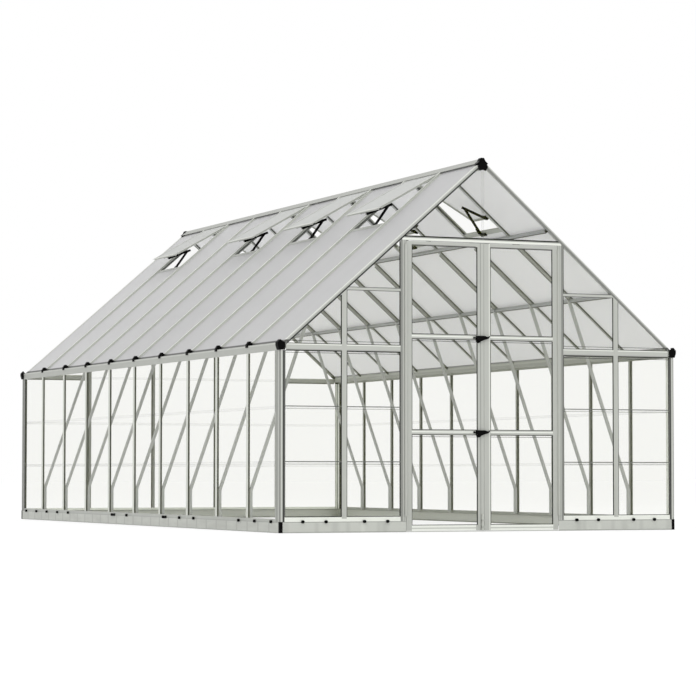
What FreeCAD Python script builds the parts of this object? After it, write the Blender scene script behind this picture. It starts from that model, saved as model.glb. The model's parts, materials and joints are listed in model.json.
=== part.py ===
import FreeCAD, Part
import math
import os

os.makedirs("parts", exist_ok=True)
Vec = FreeCAD.Vector

# Overall sizes: outer faces of the walls, bays along the ridge, heights of eave and ridge
wall_width = 3050.0
bay_pitch = 614.0
bay_count = 10
eave_z = 1267.0
ridge_z = 2590.0

# Sheets and the play they have in their slots
wall_sheet = 2.0
roof_sheet = 4.0
sheet_play = 0.3

# Glazing bar section
skin = 2.0
cap_half = 18.0
rib_half = 7.0
rib_rise = 1.5
rafter_rib_rise = 12.0
web_half = 1.5
seat_half = 14.0
foot_half = 11.0
flange_skin = 1.8
bar_depth = 18.0

# Corner post section
corner_gable_leg = 35.0
corner_side_leg = 84.0
corner_slot_depth = 13.0
groove_depth = 0.8
groove_lines = (16.0, 42.0, 62.0)
groove_width = 3.0

# Edge rafter section
edge_leg = 25.0
edge_flange = 35.0
edge_tube_width = 20.0
edge_slot_top = 10.0

# Base rails and the wall rail on them
base_height = 75.0
base_flange = 45.0
base_steel = 1.5
base_joint = 0.4
base_bays_per_length = 2
rail_height = 20.0
rail_floor = 40.0
anchor_inset = 25.0
anchor_radius = 5.0

# Black caps of the base
cover_leg = 20.0
cover_skin = 2.0
screw_cap_radius = 10.5
screw_cap_rise = 14.0
side_cap_first = 147.0
side_cap_counts = (1, 1, 1, 0, 0, 1, 1, 2, 0, 0, 1, 2, 0, 0, 0, 1, 1, 1, 1, 1)
twin_cap_step = 55.0
front_cap_x = (732.0, 905.0, 1190.0, 1360.0)
back_cap_offset = 85.0

# Eave beam with its gutter
eave_bottom = 1234.0
eave_lip_top = 1287.0
gutter_floor = 1250.0
gutter_width = 45.0
roof_overhang = 20.0
sheet_overhang = 26.0

# Black caps of the roof: hooks over the gutter, eave corner caps, ridge end caps
hook_start = 32.0
hook_skin = 12.0
hook_crown = 12.0
hook_lead = 8.0
hook_half = 17.0
hook_low = 1275.0
corner_cap_skin = 6.0
corner_cap_lead = 19.0
corner_cap_wrap = 38.0
corner_cap_top = 1307.0
corner_cap_shoulder = 1286.0
corner_cap_low = 1236.0
ridge_end_top_half = 8.0
ridge_end_half = 38.0
ridge_end_low_half = 21.0
ridge_end_shoulder = 63.0
ridge_end_drop = 90.0
ridge_end_notch = 80.0

# Ridge beam
ridge_cap_half = 42.0
ridge_cap_lift = 12.5
ridge_cap_skin = 2.5
ridge_foot_half = 16.0
ridge_foot_drop = 60.0

# Gables
front_post_x = 1053.0
back_post_x = (301.0, 903.0)
transom_z = 1258.5
transom_half = 23.5
gable_bar_z = 1664.5
gable_bar_half = 12.5
gable_bar_depth = 12.0
strip_z = (474.0, 849.0)
strip_half = 11.0
strip_skin = 1.4
strip_web_half = 0.6

# Inner frame
stiffener_width = 25.0
stiffener_skin = 3.0
stiffener_top_s = 70.0
stiffener_tail = 50.0
purlin_s = (692.0, 1373.0)
purlin_width = 25.0
purlin_depth = 20.0
purlin_wall = 1.5
clip_skin = 3.0
clip_length = 30.0
brace_foot_depth = 20.0
brace_foot_width = 24.0
brace_foot_top = 290.0
brace_bend_z = 280.0
brace_width = 20.0

# Doorway
post_inner_x = 592.0
door_post_width = 40.0
header_bottom = 2011.0
header_height = 24.0
threshold_rise = 5.0
threshold_depth = 45.0

# Door leaves
hinge_x = 590.0
hinge_lead = 7.0
bead_radius = 4.0
hinge_play = 0.08
knuckle_wall = 2.0
knuckle_start = 25.0
knuckle_end = 220.0
neck_half = 1.0
neck_reach = 13.0
hinge_end_gap = 25.0
leaf_edge_gap = 2.0
meeting_x = 7.0
meeting_gap = 2.0
leaf_depth = 25.0
hinge_stile = 41.0
meeting_stile = 48.5
leaf_bottom = 8.0
leaf_bottom_rail = 37.0
leaf_top_rail = 27.0
leaf_top_gap = 4.0
leaf_rail_half = 15.5
leaf_rail_z = (686.5, 1348.0)

# Latches
latch_axis_z = (688.0, 1346.0)
latch_lead = 8.0
latch_depth = 16.0
latch_half = 14.0
latch_length = 64.0
bolt_radius = 4.0
bolt_play = 0.3
bolt_stick = 12.0
knob_radius = 7.0
knob_length = 7.0
ring_radius = 10.0
ring_wire = 3.5
ring_inset = 12.0
keeper_length = 42.0
keeper_tip = 4.0
keeper_bore = 16.0
drop_x = -8.0
drop_radius = 5.0
drop_bottom = 7.0
drop_length = 115.0
drop_guide_z = (24.0, 72.0)
drop_guide_height = 12.0
drop_guide_wall = 4.0
drop_knob_height = 10.0

# Roof vents: which bays have one, counted from the front, and how far each stands open
has_vent = (False, True, False, True, False, True, False, False, True, False)
vent_open = 11.5
vent_hinge_s = 20.0
vent_mouth_start = 114.0
vent_mouth_end = 414.0
vent_side_gap = 1.0
vent_lip_lap = 8.0
vent_lip_lift = 0.8
vent_lip_width = 18.0
vent_top_s = 26.0
vent_bottom_s = 596.0
vent_skirt = 12.0
vent_bottom_lap = 16.0
vent_seat_play = 0.4
sill_gap = 2.0
sill_lip_n = -6.0
sill_bottom_n = -18.0
sill_web_s = 606.0
sill_end_s = 636.0

# Vent openers: pivots in slope coordinates and link lengths
opener_foot = (600.0, -30.5)
opener_head = (572.0, -29.5)
lower_link = 213.0
upper_link = 185.0
link_half = 9.0
link_eye = 10.0
link_skin = 6.5
link_tail = 30.0
pin_radius = 3.0
pin_play = 0.08
side_play = 0.3
fork_start = 28.0
fork_end = 42.0

# Values that follow from the ones above
half_width = wall_width / 2
half_length = bay_pitch * bay_count / 2
roof_angle = math.atan2(ridge_z - eave_z, half_width)
cos_roof = math.cos(roof_angle)
sin_roof = math.sin(roof_angle)
wall_slot = wall_sheet + 2 * sheet_play
roof_slot = roof_sheet + 2 * sheet_play
frame_y = [bay_pitch * k - half_length for k in range(bay_count + 1)]
rail_top = base_height + rail_height
eave_inner_x = half_width - gutter_width
slope_length = half_width / cos_roof
vent_hinge = (vent_hinge_s, 0.0)
purlin_top_n = -bar_depth - stiffener_skin
purlin_low_n = purlin_top_n - purlin_depth
header_top = header_bottom + header_height
door_tube_x = post_inner_x + door_post_width - corner_slot_depth
ridge_foot_top = ridge_z - ridge_foot_drop
ridge_foot_bottom = ridge_foot_top - skin


# Plain solids
def loop(points, origin, across, inward):
    corners = [origin + across * p[0] + inward * p[1] for p in points]
    return Part.makePolygon(corners + corners[:1])


def bar(outline, origin, across, inward, along, hollow=None):
    face = Part.Face(loop(outline, origin, across, inward))
    solid = face.extrude(along)
    if hollow:
        core = Part.Face(loop(hollow, origin, across, inward)).extrude(along)
        solid = solid.cut(core)
    return solid


def block(x0, x1, y0, y1, z0, z1):
    corner = Vec(min(x0, x1), min(y0, y1), min(z0, z1))
    return Part.makeBox(abs(x1 - x0), abs(y1 - y0), abs(z1 - z0), corner)


def upright(points, y0, y1):
    return bar(points, Vec(0, y0, 0), Vec(1, 0, 0), Vec(0, 0, 1), Vec(0, y1 - y0, 0))


def rod(start, direction, radius, length):
    return Part.makeCylinder(radius, length, start, direction)


def mirrored(points, side):
    return [(side * x, z) for x, z in points]


# Slope coordinates: s runs down from the ridge, n points out of the roof
def down(side):
    return Vec(side * cos_roof, 0, -sin_roof)


def out(side):
    return Vec(side * sin_roof, 0, cos_roof)


def on_slope(side, point, y):
    return Vec(0, y, ridge_z) + down(side) * point[0] + out(side) * point[1]


def roof_z(x, n):
    return ridge_z + (n - x * sin_roof) / cos_roof


def slope_x(s, n):
    return s * cos_roof + n * sin_roof


def sloped(points, side, y0, y1):
    return bar(points, Vec(0, y0, ridge_z), down(side), out(side), Vec(0, y1 - y0, 0))


# Bar sections
def glazing_section(half, slot, depth, rise):
    seat_top = skin + slot
    seat_low = seat_top + flange_skin
    right = [(half, 0.0), (half, skin), (web_half, skin), (web_half, seat_top)]
    if depth > 2 * seat_low:
        right += [(seat_half, seat_top), (seat_half, seat_low), (web_half, seat_low)]
        right += [(web_half, depth - flange_skin)]
    foot = min(foot_half, half)
    right += [(foot, seat_top if depth <= 2 * seat_low else depth - flange_skin), (foot, depth)]
    if rise:
        right = [(rib_half, -rise), (rib_half, 0.0)] + right
    return right + [(-u, v) for u, v in reversed(right)]


def edge_section(width, depth, slot):
    tube = width - corner_slot_depth
    seat = skin + slot
    outline = [(0, 0), (width, 0), (width, skin), (tube, skin), (tube, seat), (width, seat)]
    outline += [(width, seat + skin), (tube, seat + skin), (tube, depth), (0, depth)]
    hollow = [(skin, skin), (tube - skin, skin), (tube - skin, depth - skin), (skin, depth - skin)]
    return outline, hollow


def corner_section():
    tube_a = corner_gable_leg - corner_slot_depth
    tube_b = corner_side_leg - corner_slot_depth
    seat = skin + wall_slot
    lip = seat + skin
    outline = [(0, 0), (corner_gable_leg, 0), (corner_gable_leg, skin), (tube_a, skin), (tube_a, seat)]
    outline += [(corner_gable_leg, seat), (corner_gable_leg, lip), (tube_a, lip), (tube_a, tube_b)]
    outline += [(lip, tube_b), (lip, corner_side_leg), (seat, corner_side_leg), (seat, tube_b)]
    outline += [(skin, tube_b), (skin, corner_side_leg), (0, corner_side_leg)]
    for line in reversed(groove_lines):
        far = line + groove_width
        outline += [(0, far), (groove_depth, far), (groove_depth, line), (0, line)]
    hollow = [(skin, skin), (tube_a - skin, skin), (tube_a - skin, tube_b - skin), (skin, tube_b - skin)]
    return outline, hollow


def rafter_edge_section():
    seat = skin + roof_slot
    under = seat + flange_skin
    front = skin + wall_slot
    wide = edge_tube_width
    outline = [(0, 0), (edge_flange, 0), (edge_flange, skin), (wide, skin), (wide, seat)]
    outline += [(edge_flange, seat), (edge_flange, under), (wide, under), (wide, bar_depth)]
    outline += [(front, bar_depth)]
    outline += [(front, edge_slot_top), (skin, edge_slot_top), (skin, edge_leg), (0, edge_leg)]
    core_u = (front + flange_skin, wide - flange_skin)
    core_v = (2 * skin, bar_depth - flange_skin)
    hollow = [(core_u[0], core_v[0]), (core_u[1], core_v[0])]
    hollow += [(core_u[1], core_v[1]), (core_u[0], core_v[1])]
    return outline, hollow


def tube_section(width, depth, wall):
    far = width - wall
    low = depth - wall
    outline = [(0, 0), (width, 0), (width, depth), (0, depth)]
    hollow = [(wall, wall), (far, wall), (far, low), (wall, low)]
    return outline, hollow


def export(node, solids):
    Part.makeCompound(solids).exportStep("parts/" + node + ".step")


# Base rails with mitred corners
def base_section():
    inner = base_height - base_steel
    lower = [(0, 0), (base_flange, 0), (base_flange, base_steel), (base_steel, base_steel)]
    upper = [(base_steel, inner), (base_flange, inner), (base_flange, base_height), (0, base_height)]
    return lower + upper


def mitre_prism(side_wall, sign):
    inset = base_flange + skin
    if side_wall:
        far = sign * half_width
        near = sign * (half_width - inset)
        inner = half_length - inset
        points = [(far, -half_length), (far, half_length), (near, inner), (near, -inner)]
    else:
        far = sign * half_length
        near = sign * (half_length - inset)
        inner = half_width - inset
        points = [(-half_width, far), (half_width, far), (inner, near), (-inner, near)]
    return bar(points, Vec(0, 0, -skin), Vec(1, 0, 0), Vec(0, 1, 0), Vec(0, 0, base_height + 2 * skin))


def build_base():
    rails = []
    length = base_bays_per_length * bay_pitch
    count = bay_count // base_bays_per_length
    for side in (-1, 1):
        prism = mitre_prism(True, side)
        for k in range(count):
            start = -half_length + k * length + (base_joint if k else 0.0)
            end = -half_length + (k + 1) * length
            run = bar(base_section(), Vec(side * half_width, start, 0), Vec(-side, 0, 0), Vec(0, 0, 1),
                      Vec(0, end - start, 0))
            run = run.common(prism)
            if k in (0, count - 1):
                anchor_y = math.copysign(half_length - length / 2, start + end)
                spot = Vec(side * (half_width - anchor_inset), anchor_y, -skin)
                run = run.cut(rod(spot, Vec(0, 0, 1), anchor_radius, 3 * skin))
            rails.append(run)
    for sign in (-1, 1):
        prism = mitre_prism(False, sign)
        spans = [(-half_width, half_width)]
        if sign < 0:
            spans = [(-half_width, -post_inner_x), (post_inner_x, half_width)]
        for x0, x1 in spans:
            run = bar(base_section(), Vec(x0, sign * half_length, 0), Vec(0, -sign, 0), Vec(0, 0, 1),
                      Vec(x1 - x0, 0, 0))
            rails.append(run.common(prism))
    export("base_rails", rails)


def build_base_caps():
    caps = []
    for sx in (-1, 1):
        for sy in (-1, 1):
            x = sx * half_width
            y = sy * half_length
            far_y = y + sy * cover_skin
            side_leg = block(x, x + sx * cover_skin, far_y, y - sy * cover_leg, 0, base_height)
            end_leg = block(x, x - sx * cover_leg, y, far_y, 0, base_height)
            caps.append(side_leg.fuse(end_leg).removeSplitter())
    for side in (-1, 1):
        for k, count in enumerate(side_cap_counts):
            first = side_cap_first - half_length + k * bay_pitch / 2
            for i in range(int(count)):
                spot = Vec(side * half_width, first + i * twin_cap_step, base_height)
                caps.append(rod(spot, Vec(side, 0, 0), screw_cap_radius, screw_cap_rise))
        for x in front_cap_x:
            spot = Vec(side * x, -half_length, base_height)
            caps.append(rod(spot, Vec(0, -1, 0), screw_cap_radius, screw_cap_rise))
    lines = [-half_width] + [-x for x in reversed(back_post_x)] + list(back_post_x) + [half_width]
    for x0, x1 in zip(lines, lines[1:]):
        for offset in (-back_cap_offset, back_cap_offset):
            spot = Vec((x0 + x1) / 2 + offset, half_length, base_height)
            caps.append(rod(spot, Vec(0, 1, 0), screw_cap_radius, screw_cap_rise))
    export("base_caps", caps)


# Rails that hold the lower edge of the wall sheets
def build_bottom_rails():
    seat = skin + wall_slot
    lip = seat + skin
    section = [(0, 0), (rail_floor, 0), (rail_floor, skin), (lip, skin), (lip, rail_height)]
    section += [(seat, rail_height), (seat, skin), (skin, skin), (skin, rail_height), (0, rail_height)]
    rails = []
    reach = half_length - corner_side_leg
    for side in (-1, 1):
        start = Vec(side * half_width, -reach, base_height)
        rails.append(bar(section, start, Vec(-side, 0, 0), Vec(0, 0, 1), Vec(0, 2 * reach, 0)))
    corner_x = half_width - corner_gable_leg
    door_x = post_inner_x + door_post_width
    runs = [(1, -corner_x, corner_x), (-1, -corner_x, -door_x), (-1, door_x, corner_x)]
    for sign, x0, x1 in runs:
        start = Vec(x0, sign * half_length, base_height)
        rails.append(bar(section, start, Vec(0, -sign, 0), Vec(0, 0, 1), Vec(x1 - x0, 0, 0)))
    export("bottom_rails", rails)


def build_corner_posts():
    outline, hollow = corner_section()
    posts = []
    for sx in (-1, 1):
        for sy in (-1, 1):
            start = Vec(sx * half_width, sy * half_length, base_height)
            rise = Vec(0, 0, eave_bottom - base_height)
            posts.append(bar(outline, start, Vec(-sx, 0, 0), Vec(0, -sy, 0), rise, hollow))
    export("corner_posts", posts)


# Region of a gable below the lower edge of its edge rafters
def under_rafters(n):
    top = roof_z(0.0, n)
    foot = roof_z(half_width, n)
    points = [(0, top), (half_width, foot), (half_width, 0), (-half_width, 0), (-half_width, foot)]
    return upright(points, -half_length - edge_leg, half_length + edge_leg)


def gable_bar_run(section, sign, x0, x1, z):
    start = Vec(x0, sign * half_length, z)
    return bar(section, start, Vec(0, 0, 1), Vec(0, -sign, 0), Vec(x1 - x0, 0, 0))


def build_wall_posts():
    section = glazing_section(cap_half, wall_slot, bar_depth, rib_rise)
    posts = []
    rise = Vec(0, 0, eave_bottom - rail_top)
    for side in (-1, 1):
        for y in frame_y[1:-1]:
            start = Vec(side * half_width, y, rail_top)
            posts.append(bar(section, start, Vec(0, 1, 0), Vec(-side, 0, 0), rise))
    region = under_rafters(-edge_leg)
    rise = Vec(0, 0, ridge_z - rail_top)
    for sign, places in ((-1, (front_post_x,)), (1, back_post_x)):
        for x in places:
            for side in (-1, 1):
                start = Vec(side * x, sign * half_length, rail_top)
                post = bar(section, start, Vec(1, 0, 0), Vec(0, -sign, 0), rise)
                posts.append(post.common(region))
    export("wall_posts", posts)


def build_eave_beams():
    seat = skin + wall_slot
    lip = seat + skin
    under = -skin - roof_slot
    floor_top = gutter_floor + skin
    inner = gutter_width - skin
    section = [(0, eave_bottom), (skin, eave_bottom), (skin, gutter_floor), (seat, gutter_floor)]
    section += [(seat, eave_bottom), (lip, eave_bottom), (lip, gutter_floor), (gutter_width, gutter_floor)]
    section += [(gutter_width, roof_z(half_width - gutter_width, under))]
    section += [(inner, roof_z(half_width - inner, under)), (inner, floor_top), (skin, floor_top)]
    section += [(skin, eave_lip_top), (0, eave_lip_top)]
    beams = []
    for side in (-1, 1):
        start = Vec(side * half_width, -half_length, 0)
        beams.append(bar(section, start, Vec(-side, 0, 0), Vec(0, 0, 1), Vec(0, 2 * half_length, 0)))
    export("eave_beams", beams)


# Part of a slope that rafters may fill: the high rib stops short of the ridge cap and the eave hooks
def rafter_region(side):
    tip_x = half_width - roof_overhang
    split = -2 * skin
    high = ridge_z + edge_leg
    rib_x = (ridge_cap_half + sheet_play, half_width - hook_start - sheet_play)
    points = [(web_half, roof_z(web_half, rib_rise)), (rib_x[0], roof_z(rib_x[0], rib_rise))]
    points += [(rib_x[0], high), (rib_x[1], high), (rib_x[1], roof_z(rib_x[1], rib_rise))]
    points += [(tip_x, roof_z(tip_x, rib_rise)), (tip_x, roof_z(tip_x, split))]
    points += [(eave_inner_x, roof_z(eave_inner_x, split)), (eave_inner_x, 0), (web_half, 0)]
    return upright(mirrored(points, side), -half_length - edge_leg, half_length + edge_leg)


def build_rafters():
    section = glazing_section(cap_half, roof_slot, bar_depth, rafter_rib_rise)
    outline, hollow = rafter_edge_section()
    rafters = []
    for side in (-1, 1):
        region = rafter_region(side)
        start_s = -edge_leg
        run = down(side) * (slope_length - start_s)
        for y in frame_y[1:-1]:
            start = on_slope(side, (start_s, 0.0), y)
            rafters.append(bar(section, start, Vec(0, 1, 0), out(side) * -1, run).common(region))
        for sign in (-1, 1):
            start = on_slope(side, (start_s, 0.0), sign * half_length)
            edge = bar(outline, start, Vec(0, -sign, 0), out(side) * -1, run, hollow)
            rafters.append(edge.common(region))
    export("rafters", rafters)


# Black caps on the roof ends
def build_roof_end_caps():
    caps = []
    outer_x = half_width + hook_lead
    start_x = half_width - hook_start
    crown_x = half_width - hook_crown
    tip_x = half_width - roof_overhang
    hook = [(start_x, roof_z(start_x, rib_rise)), (start_x, roof_z(start_x, rib_rise + hook_skin))]
    hook += [(tip_x, roof_z(tip_x, rib_rise + hook_skin)), (outer_x, eave_lip_top + hook_skin)]
    hook += [(outer_x, hook_low), (half_width, hook_low), (half_width, eave_lip_top)]
    hook += [(crown_x, eave_lip_top), (tip_x, roof_z(tip_x, rib_rise))]
    inner_x = half_width - corner_gable_leg
    far_x = half_width + corner_cap_lead
    low_x = half_width + corner_cap_lead / 2
    face = [(inner_x, corner_cap_low), (inner_x, corner_cap_shoulder), (half_width, corner_cap_top)]
    face += [(far_x, corner_cap_shoulder), (far_x, eave_z), (low_x, corner_cap_low)]
    flank = [(half_width, corner_cap_low), (half_width, corner_cap_top)] + face[3:]
    for side in (-1, 1):
        for y in frame_y[1:-1]:
            caps.append(upright(mirrored(hook, side), y - hook_half, y + hook_half))
        for sign in (-1, 1):
            y = sign * half_length
            plate = upright(mirrored(face, side), y, y + sign * corner_cap_skin)
            wrap = upright(mirrored(flank, side), y + sign * corner_cap_skin, y - sign * corner_cap_wrap)
            caps.append(plate.fuse(wrap).removeSplitter())
    top = roof_z(0.0, ridge_cap_lift)
    half = [(ridge_end_top_half, top), (ridge_end_half, top - ridge_end_shoulder)]
    half += [(ridge_end_low_half, top - ridge_end_drop)]
    end = half + [(0.0, top - ridge_end_notch)] + [(-x, z) for x, z in reversed(half)]
    for sign in (-1, 1):
        caps.append(upright(end, sign * half_length, sign * (half_length + corner_cap_skin)))
    export("roof_end_caps", caps)


# Stiffeners under the rafters, purlin clips and knee braces
def build_inner_braces():
    pieces = []
    low_s = purlin_s[1] + stiffener_tail
    edge_y = half_length - skin - wall_slot - stiffener_width / 2
    half = stiffener_width / 2
    strip = [(stiffener_top_s, -bar_depth), (low_s, -bar_depth)]
    strip += [(low_s, purlin_top_n), (stiffener_top_s, purlin_top_n)]
    foot_x = half_width - bar_depth
    bend = (foot_x - brace_foot_depth / 2, brace_bend_z)
    head_x = slope_x(purlin_s[1], purlin_low_n)
    head = (head_x, roof_z(head_x, purlin_low_n))
    lean = Vec(head[0] - bend[0], 0, head[1] - bend[1])
    lean.normalize()
    reach = brace_width * 2
    across = Vec(lean.z, 0, -lean.x)
    start = Vec(bend[0], 0, bend[1])
    finish = Vec(head[0], 0, head[1]) + lean * reach
    half_brace = brace_width / 2
    half_foot = brace_foot_width / 2
    half_core = half_brace - skin

    def diagonal(side, half):
        offset = across * half
        corners = [start + offset, finish + offset, finish - offset, start - offset]
        return mirrored([(p.x, p.z) for p in corners], side)

    for side in (-1, 1):
        below = [(0, purlin_low_n), (2 * slope_length, purlin_low_n)]
        below += [(2 * slope_length, -slope_length), (0, -slope_length)]
        under_purlin = sloped(below, side, -half_length, half_length)
        for y in [-edge_y] + frame_y[1:-1] + [edge_y]:
            pieces.append(sloped(strip, side, y - half, y + half))
        for y in frame_y[1:-1]:
            for s in purlin_s:
                near = s + purlin_width / 2
                far = near + clip_length
                clip_n = purlin_top_n - clip_skin
                leg = [(near, purlin_top_n), (far, purlin_top_n), (far, clip_n), (near + clip_skin, clip_n)]
                leg += [(near + clip_skin, purlin_low_n), (near, purlin_low_n)]
                pieces.append(sloped(leg, side, y - foot_half, y + foot_half))
            inner_x = foot_x - brace_foot_depth
            foot = block(side * inner_x, side * foot_x, y - half_foot, y + half_foot,
                         base_height + skin, brace_foot_top)
            hollow = block(side * (inner_x + skin), side * (foot_x - skin), y - half_foot + skin,
                           y + half_foot - skin, base_height, brace_foot_top)
            arm = upright(diagonal(side, half_brace), y - half_brace, y + half_brace).common(under_purlin)
            core = upright(diagonal(side, half_core), y - half_core, y + half_core)
            pieces.append(foot.cut(hollow))
            pieces.append(arm.cut(foot).cut(core))
    export("inner_braces", pieces)


def build_purlins():
    outline, hollow = tube_section(purlin_width, purlin_depth, purlin_wall)
    purlins = []
    reach = half_length - gable_bar_depth - sheet_play
    for side in (-1, 1):
        for s in purlin_s:
            start = on_slope(side, (s - purlin_width / 2, purlin_top_n), -reach)
            purlins.append(bar(outline, start, down(side), out(side) * -1, Vec(0, 2 * reach, 0), hollow))
    export("purlins", purlins)


def vent_places():
    bays = [k for k in range(bay_count) if has_vent[k]]
    return [(side, (frame_y[k] + frame_y[k + 1]) / 2) for side in (-1, 1) for k in bays]


# Ridge beam with a hinge bead hung under its cap in each vent bay
def build_ridge_beam():
    under = ridge_cap_lift - ridge_cap_skin
    wide = ridge_cap_half
    right = [(wide, roof_z(wide, ridge_cap_lift)), (wide, roof_z(wide, under))]
    right += [(web_half, roof_z(web_half, under)), (web_half, ridge_foot_top)]
    right += [(ridge_foot_half, ridge_foot_top), (ridge_foot_half, ridge_foot_bottom)]
    outline = [(0, roof_z(0.0, ridge_cap_lift))] + right + [(-x, z) for x, z in reversed(right)]
    beam = upright(outline, -half_length, half_length)
    beads = []
    reach = bay_pitch / 2 - cap_half - 2 * vent_side_gap
    neck = [(vent_hinge_s - neck_half, 0), (vent_hinge_s + neck_half, 0)]
    neck += [(vent_hinge_s + neck_half, under + neck_half), (vent_hinge_s - neck_half, under + neck_half)]
    for side, y in vent_places():
        beads.append(rod(on_slope(side, vent_hinge, y - reach), Vec(0, 1, 0), bead_radius, 2 * reach))
        beads.append(sloped(neck, side, y - reach, y + reach))
    export("ridge_beam", [beam.multiFuse(beads)])


# Bays of the gables: where the sheets end and where the caps of the bars end
def gable_bays(sign):
    corner = (half_width - corner_gable_leg + corner_slot_depth, half_width - corner_gable_leg)
    if sign < 0:
        door = (door_tube_x, post_inner_x + door_post_width)
        post = front_post_x
        bays = [(door[0], post - web_half, door[1], post - cap_half)]
        bays += [(post + web_half, corner[0], post + cap_half, corner[1])]
        return bays + [(-b, -a, -d, -c) for a, b, c, d in bays]
    lines = [-x for x in reversed(back_post_x)] + list(back_post_x)
    bays = [(-corner[0], lines[0] - web_half, -corner[1], lines[0] - cap_half)]
    for a, b in zip(lines, lines[1:]):
        bays.append((a + web_half, b - web_half, a + cap_half, b - cap_half))
    return bays + [(lines[-1] + web_half, corner[0], lines[-1] + cap_half, corner[1])]


def has_gable_bar(sign, bay):
    return sign < 0 and max(abs(bay[0]), abs(bay[1])) < front_post_x


def has_transom(sign, bay):
    return sign < 0 or max(abs(bay[0]), abs(bay[1])) > max(back_post_x)


def build_gable_transoms():
    wide = glazing_section(transom_half, wall_slot, bar_depth, 0.0)
    slim = glazing_section(gable_bar_half, wall_slot, gable_bar_depth, 0.0)
    bars = []
    region = under_rafters(-edge_leg)
    for sign in (-1, 1):
        for bay in gable_bays(sign):
            left = max(bay[2], -eave_inner_x)
            right = min(bay[3], eave_inner_x)
            if has_transom(sign, bay):
                bars.append(gable_bar_run(wide, sign, left, right, transom_z).common(region))
            if has_gable_bar(sign, bay):
                bars.append(gable_bar_run(slim, sign, bay[2], bay[3], gable_bar_z).common(region))
    export("gable_transoms", bars)


# Door frame: posts with hinge beads, header and threshold
def build_door_frame():
    outline, hollow = edge_section(door_post_width, bar_depth, wall_slot)
    face_y = -half_length
    pieces = []
    rise = header_bottom - base_height
    bead_low = leaf_bottom + base_height + hinge_end_gap
    bead_rise = header_bottom - hinge_end_gap - bead_low
    axis_y = face_y - hinge_lead
    region = under_rafters(-edge_leg)
    for side in (-1, 1):
        start = Vec(side * post_inner_x, face_y, base_height)
        post = bar(outline, start, Vec(side, 0, 0), Vec(0, 1, 0), Vec(0, 0, rise), hollow)
        bead = rod(Vec(side * hinge_x, axis_y, bead_low), Vec(0, 0, 1), bead_radius, bead_rise)
        elbow_x = hinge_x + neck_reach
        bead_top = bead_low + bead_rise
        front_y = axis_y - neck_half
        neck = block(side * hinge_x, side * elbow_x, front_y, axis_y + neck_half, bead_low, bead_top)
        leg_x = elbow_x - 2 * neck_half
        leg = block(side * leg_x, side * elbow_x, front_y, face_y + neck_half, bead_low, bead_top)
        pieces.append(post.common(region).multiFuse([bead, neck, leg]))
    seat = skin + wall_slot
    deep = header_height / 2
    tall = header_height
    outline = [(0, 0), (tall, 0), (tall, skin), (deep, skin), (deep, seat), (tall, seat)]
    outline += [(tall, bar_depth), (0, bar_depth)]
    far = header_height - skin
    hollow = [(skin, 2 * seat), (far, 2 * seat), (far, bar_depth - skin), (skin, bar_depth - skin)]
    reach = door_tube_x
    start = Vec(-reach, face_y, header_bottom)
    header = bar(outline, start, Vec(0, 0, 1), Vec(0, 1, 0), Vec(2 * reach, 0, 0), hollow)
    pieces.append(header.common(region))
    pieces.append(block(-post_inner_x, post_inner_x, face_y, face_y + threshold_depth, 0, threshold_rise))
    export("door_frame", pieces)


# Heights of the sheets between rails, joint strips and transom
def sheet_heights(bottom, top, joints):
    edges = []
    low = bottom
    for z in joints:
        edges.append((low, z - strip_web_half - sheet_play))
        low = z + strip_web_half + sheet_play
    return edges + [(low, top)]


def strip_section():
    seat = skin + wall_slot
    web = strip_web_half
    tall = strip_half
    outer = skin - strip_skin
    inner = seat + strip_skin
    points = [(-tall, outer), (tall, outer), (tall, skin), (web, skin), (web, seat), (tall, seat)]
    points += [(tall, inner), (-tall, inner), (-tall, seat), (-web, seat), (-web, skin)]
    return points + [(-tall, skin)]


def side_edges(k):
    corner = half_length - corner_side_leg + corner_slot_depth
    leg = half_length - corner_side_leg
    left = (frame_y[k] + web_half, frame_y[k] + cap_half) if k else (-corner, -leg)
    last = k == bay_count - 1
    right = (corner, leg) if last else (frame_y[k + 1] - web_half, frame_y[k + 1] - cap_half)
    return left[0], right[0], left[1], right[1]


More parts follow.
